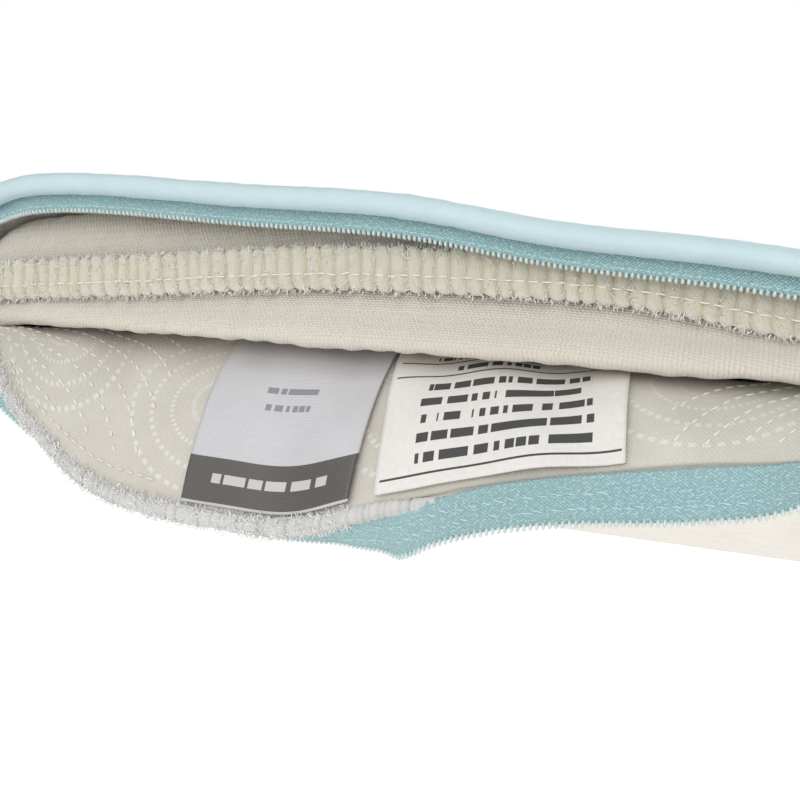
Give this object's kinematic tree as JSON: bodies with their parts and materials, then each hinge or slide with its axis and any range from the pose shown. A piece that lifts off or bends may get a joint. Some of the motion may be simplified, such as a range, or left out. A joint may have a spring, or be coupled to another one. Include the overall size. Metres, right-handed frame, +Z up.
{
  "type": "bed pillow",
  "caption": "Bed pillow with a piped zip-off cover, partly unzipped at one short end over a foam-filled inner pillow.",
  "frame": {"origin": "centre of the pillow's box on the surface it rests on", "axes": "+X along the zipped short side, the way the slider opens the zip; +Y from the zipped end to the back; +Z up"},
  "size_m": [0.4848, 0.7678, 0.146],
  "materials": {
    "cover_cloth": "off-white jacquard knit",
    "satin_piping": "light aqua satin, glossy",
    "cotton_cord": "white twisted filler cord",
    "white_overlock": "white overlock thread over a seam allowance",
    "zip_tape": "aqua herringbone zip tape",
    "zip_coil": "aqua nylon coil",
    "satin_label": "white satin label with a grey band",
    "paper_label": "off-white non-woven label",
    "knit_case": "warm white knitted inner case",
    "cream_overlock": "cream overlock thread",
    "foam": "open-cell polyurethane foam",
    "slider_paint": "aqua painted zinc"
  },
  "bodies": {
    "pillow": {"cover_top_panel": "cover_cloth", "cover_bottom_panel": "cover_cloth", "piping_sleeve": "satin_piping", "piping_filler_cord": "cotton_cord", "cover_side_overlock": "white_overlock", "cover_edge_overlock": "white_overlock", "zip_tape_upper": "zip_tape", "zip_coil_upper": "zip_coil", "zip_tape_lower": "zip_tape", "zip_coil_lower": "zip_coil", "size_label": "satin_label", "law_label": "paper_label", "insert_case_top": "knit_case", "insert_case_bottom": "knit_case", "insert_front_overlock": "cream_overlock", "insert_side_overlock": "cream_overlock", "foam_pad_upper": "foam", "shredded_foam_fill": "foam", "foam_pad_lower": "foam"},
    "slider": {"zip_slider": "slider_paint"},
    "pull_tab": {"zip_pull_tab": "slider_paint"}
  },
  "joints": [
    {"name": "slider_slide", "type": "slide", "parent": "pillow", "child": "slider", "axis": [1, 0, 0], "range_m": [0, 0.078]},
    {"name": "pull_tab_swing", "type": "hinge", "parent": "slider", "child": "pull_tab", "pos_m": [0.112, -0.3568, 0.066], "axis": [0, 0, -1], "range_deg": [0, 150]}
  ]
}
